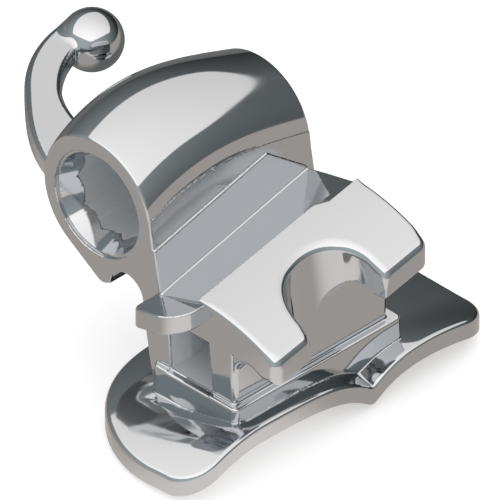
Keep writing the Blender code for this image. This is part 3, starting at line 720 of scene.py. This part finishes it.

# ---------------------------------------------------------------------------------------------
# Studio
# A pale matt floor, which glows in the steel with painted light on one side and painted shade on
# the other, a four-cornered softbox overhead and a room that is darker on one side, as for small
# polished parts.

FLOOR_HALF = 0.6
FLOOR_COLOUR, FLOOR_LIFT = "#f9f9f9", 0.34
# Tones that the floor glows with in the steel: a painted reflection, lighter with painted light on
# one side and darker with painted shade on the other
FLOOR_WARM = (0.60, 0.545, 0.50, 1.0)
FLOOR_PAINTED_LIGHT = (1.10, 1.02, 0.96, 1.0)
FLOOR_PAINTED_SHADE = (0.20, 0.20, 0.195, 1.0)
# Horizontal direction of the floor's side of painted light, and cosines where its painted light
# and painted shade begin and are full
LIGHT_SIDE = (math.sqrt(0.5), -math.sqrt(0.5), 0.0)
LIGHT_FROM, LIGHT_FULL, DARK_FROM, DARK_FULL = 0.55, 0.98, -0.5, -0.9
# Inward normals of the four planes through the object and the softbox's sides
SOFTBOX_SIDES = (
    (-0.0945, -0.571, 0.8157),
    (0.6144, -0.1065, 0.7818),
    (-0.0635, 0.5374, 0.8409),
    (-0.612, 0.0249, 0.7905),
)
SOFTBOX_CORNER, SOFTBOX_EDGE = 0.11, (-0.020, -0.004)
SOFTBOX_TINT, SOFTBOX_LEAN, SOFTBOX_LEVEL = (1.04, 0.985, 0.95), (0.165, -0.452, 0.0), 1.50
ROOM_TINT, ROOM_LEAN, ROOM_LEVEL = (0.93, 1.0, 1.0), (0.055, -0.310, 0.19), 0.315
ROOM_LEAST = 0.02


def blend(tree, share, low, high):
    """Colour between two others by a share from 0 to 1."""
    mix = add_node(tree, "ShaderNodeMix", {"data_type": "RGBA"}, {0: share, 6: low, 7: high})
    return mix.outputs[2]


def smooth_share(tree, value, start, full):
    """Share that rises smoothly from 0 at the start value to 1 at the full one."""
    inputs = {"Value": value, "From Min": start, "From Max": full}
    ramp = add_node(tree, "ShaderNodeMapRange", {"interpolation_type": "SMOOTHSTEP"}, inputs)
    return ramp.outputs["Result"]


def along(tree, vector, direction):
    """Dot product of a vector and a fixed direction."""
    inputs = {0: vector, 1: direction}
    dot = add_node(tree, "ShaderNodeVectorMath", {"operation": "DOT_PRODUCT"}, inputs)
    return dot.outputs["Value"]


def tinted(tree, level, tint):
    """Colour of a tint at a level."""
    inputs = {0: tint, "Scale": level}
    scaled = add_node(tree, "ShaderNodeVectorMath", {"operation": "SCALE"}, inputs)
    return scaled.outputs[0]


h = FLOOR_HALF
floor_mesh = bpy.data.meshes.new("floor")
floor_mesh.from_pydata([(-h, -h, 0), (h, -h, 0), (h, h, 0), (-h, h, 0)], [], [(0, 1, 2, 3)])
floor = bpy.data.objects.new("floor", floor_mesh)
bpy.context.scene.collection.objects.link(floor)
paper = bpy.data.materials.new("matt_paper_floor")
paper.use_nodes = True
tree = paper.node_tree
tree.nodes.clear()
rays = add_node(tree, "ShaderNodeLightPath")
spot = add_node(tree, "ShaderNodeNewGeometry").outputs["Position"]
matt = add_node(tree, "ShaderNodeBsdfDiffuse", inputs={"Color": linear(FLOOR_COLOUR)})
lift = add_node(
    tree, "ShaderNodeEmission", inputs={"Color": (1, 1, 1, 1), "Strength": FLOOR_LIFT}
)
bright = add_node(tree, "ShaderNodeAddShader", inputs={0: matt.outputs[0], 1: lift.outputs[0]})
# In the steel the floor glows warm grey, a painted reflection with painted light on one side of
# the piece and painted shade on the other
side = add_node(tree, "ShaderNodeVectorMath", {"operation": "NORMALIZE"}, {0: spot})
ahead = along(tree, side.outputs["Vector"], LIGHT_SIDE)
warm = blend(tree, smooth_share(tree, ahead, LIGHT_FROM, LIGHT_FULL), FLOOR_WARM, FLOOR_PAINTED_LIGHT)
tone = blend(tree, smooth_share(tree, ahead, DARK_FROM, DARK_FULL), warm, FLOOR_PAINTED_SHADE)
painted_reflection = add_node(tree, "ShaderNodeEmission", inputs={"Color": tone, "Strength": 1.0})
lit = add_node(
    tree,
    "ShaderNodeMixShader",
    inputs={0: rays.outputs["Is Camera Ray"], 1: matt.outputs[0], 2: bright.outputs[0]},
)
mix = add_node(
    tree,
    "ShaderNodeMixShader",
    inputs={0: rays.outputs["Is Glossy Ray"], 1: lit.outputs[0], 2: painted_reflection.outputs[0]},
)
add_node(tree, "ShaderNodeOutputMaterial", inputs={"Surface": mix.outputs[0]})
floor_mesh.materials.append(paper)

world = bpy.data.worlds.new("studio")
bpy.context.scene.world = world
world.use_nodes = True
tree = world.node_tree
tree.nodes.clear()
rays = add_node(tree, "ShaderNodeLightPath")
toward = add_node(tree, "ShaderNodeTexCoord").outputs["Generated"]
# Inside the softbox is where a direction lies on the inner side of all four planes
inside = along(tree, toward, SOFTBOX_SIDES[0])
for side in SOFTBOX_SIDES[1:]:
    inputs = {0: inside, 1: along(tree, toward, side), 2: SOFTBOX_CORNER}
    inside = add_node(tree, "ShaderNodeMath", {"operation": "SMOOTH_MIN"}, inputs).outputs[0]
window = smooth_share(tree, inside, *SOFTBOX_EDGE)
add = {"operation": "ADD"}
softbox_lean = along(tree, toward, SOFTBOX_LEAN)
softbox_level = add_node(tree, "ShaderNodeMath", add, {0: softbox_lean, 1: SOFTBOX_LEVEL})
softbox = tinted(tree, softbox_level.outputs[0], SOFTBOX_TINT)
room_lean = along(tree, toward, ROOM_LEAN)
room_level = add_node(tree, "ShaderNodeMath", add, {0: room_lean, 1: ROOM_LEVEL})
inputs = {0: room_level.outputs[0], 1: ROOM_LEAST}
room_held = add_node(tree, "ShaderNodeMath", {"operation": "MAXIMUM"}, inputs)
room = tinted(tree, room_held.outputs[0], ROOM_TINT)
sky = blend(tree, window, room, softbox)
white = add_node(tree, "ShaderNodeBackground", inputs={"Color": (1, 1, 1, 1), "Strength": 1.0})
around = add_node(tree, "ShaderNodeBackground", inputs={"Color": sky, "Strength": 1.0})
mix = add_node(
    tree,
    "ShaderNodeMixShader",
    inputs={0: rays.outputs["Is Glossy Ray"], 1: white.outputs[0], 2: around.outputs[0]},
)
add_node(tree, "ShaderNodeOutputWorld", inputs={"Surface": mix.outputs[0]})

# The camera looks down at 35.26 degrees from azimuth 45, so all three axes are equally short
AIM_X, AIM_Y, AIM_Z = -0.057, 0.015, 1.3705
VIEW_WIDTH = 6.098
CAMERA_DISTANCE = 0.06
LOOK_DOWN = 35.264
aim = np.array((AIM_X, AIM_Y - PAD_MIDDLE_Y, AIM_Z + PAD_REST)) * MM
back = np.array((1.0, -1.0, 1.0)) / math.sqrt(3.0)
camera_data = bpy.data.cameras.new("camera")
camera = bpy.data.objects.new("camera", camera_data)
bpy.context.scene.collection.objects.link(camera)
camera_data.type = "ORTHO"
camera_data.ortho_scale = VIEW_WIDTH * MM
camera_data.clip_start = 0.001
camera_data.clip_end = 2.0
camera.location = tuple(aim + back * CAMERA_DISTANCE)
camera.rotation_euler = (math.radians(90.0 - LOOK_DOWN), 0.0, math.radians(45.0))
bpy.context.scene.camera = camera
bpy.context.scene.view_settings.view_transform = "Standard"
